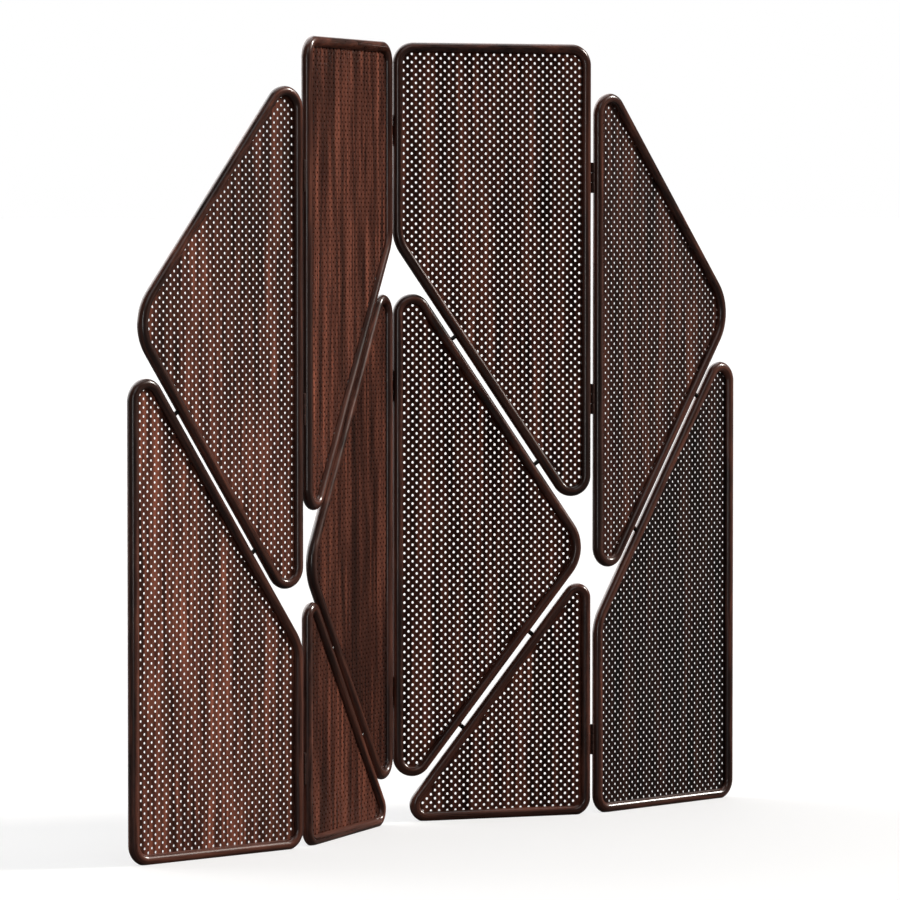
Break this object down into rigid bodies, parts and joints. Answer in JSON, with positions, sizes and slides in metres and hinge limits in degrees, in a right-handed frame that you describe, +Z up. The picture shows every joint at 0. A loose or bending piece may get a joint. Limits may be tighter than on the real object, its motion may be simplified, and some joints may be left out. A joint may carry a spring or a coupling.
{
  "type": "free-standing folding screen with perforated panels",
  "caption": "Folding room divider in dark walnut: hinged leaves of rounded frames, cut on the slant, around finely perforated panels.",
  "frame": {"origin": "on the floor, under the middle of the footprint", "axes": "+X along the screen from leaf 1 to leaf 4, +Z up, front towards -Y"},
  "size_m": [1.8998, 0.2226, 1.802],
  "materials": {
    "walnut_bar": "satin lacquer on dark stained walnut",
    "walnut_board": "satin lacquer on dark stained walnut, finely perforated",
    "dowel": "satin lacquer, nearly black",
    "hinge_metal": "bronzed steel, semi-matt"
  },
  "bodies": {
    "leaf_1": {"leaf_1_upper_frame": "walnut_bar", "leaf_1_upper_panel": "walnut_board", "leaf_1_lower_frame": "walnut_bar", "leaf_1_lower_panel": "walnut_board", "leaf_1_dowel_near": "dowel", "leaf_1_dowel_far": "dowel", "hinge_left_low_pin_half": "hinge_metal", "hinge_left_mid_pin_half": "hinge_metal", "hinge_left_top_pin_half": "hinge_metal"},
    "leaf_2": {"leaf_2_upper_frame": "walnut_bar", "leaf_2_upper_panel": "walnut_board", "leaf_2_middle_frame": "walnut_bar", "leaf_2_middle_panel": "walnut_board", "leaf_2_lower_frame": "walnut_bar", "leaf_2_lower_panel": "walnut_board", "leaf_2_dowel_steep_near": "dowel", "leaf_2_dowel_steep_far": "dowel", "leaf_2_dowel_easy_near": "dowel", "leaf_2_dowel_easy_far": "dowel", "hinge_middle_low_pin_half": "hinge_metal", "hinge_middle_mid_pin_half": "hinge_metal", "hinge_middle_top_pin_half": "hinge_metal", "hinge_left_low_eye_half": "hinge_metal", "hinge_left_mid_eye_half": "hinge_metal", "hinge_left_top_eye_half": "hinge_metal"},
    "leaf_3": {"leaf_3_upper_frame": "walnut_bar", "leaf_3_upper_panel": "walnut_board", "leaf_3_middle_frame": "walnut_bar", "leaf_3_middle_panel": "walnut_board", "leaf_3_lower_frame": "walnut_bar", "leaf_3_lower_panel": "walnut_board", "leaf_3_dowel_steep_near": "dowel", "leaf_3_dowel_steep_far": "dowel", "leaf_3_dowel_easy_near": "dowel", "leaf_3_dowel_easy_far": "dowel", "hinge_middle_low_eye_half": "hinge_metal", "hinge_middle_mid_eye_half": "hinge_metal", "hinge_middle_top_eye_half": "hinge_metal", "hinge_right_low_eye_half": "hinge_metal", "hinge_right_mid_eye_half": "hinge_metal", "hinge_right_top_eye_half": "hinge_metal"},
    "leaf_4": {"leaf_4_upper_frame": "walnut_bar", "leaf_4_upper_panel": "walnut_board", "leaf_4_lower_frame": "walnut_bar", "leaf_4_lower_panel": "walnut_board", "leaf_4_dowel_near": "dowel", "leaf_4_dowel_far": "dowel", "hinge_right_low_pin_half": "hinge_metal", "hinge_right_mid_pin_half": "hinge_metal", "hinge_right_top_pin_half": "hinge_metal"}
  },
  "joints": [
    {"name": "fold_left", "type": "hinge", "parent": "leaf_2", "child": "leaf_1", "pos_m": [-0.4557, -0.09937, 0.9], "axis": [0, 0, 1], "range_deg": [-58, 111]},
    {"name": "fold_middle", "type": "hinge", "parent": "leaf_2", "child": "leaf_3", "pos_m": [0, 0.10639, 0.9], "axis": [0, 0, 1], "range_deg": [-36, 133]},
    {"name": "fold_right", "type": "hinge", "parent": "leaf_3", "child": "leaf_4", "pos_m": [0.4557, -0.09937, 0.9], "axis": [0, 0, 1], "range_deg": [-111, 58]}
  ]
}
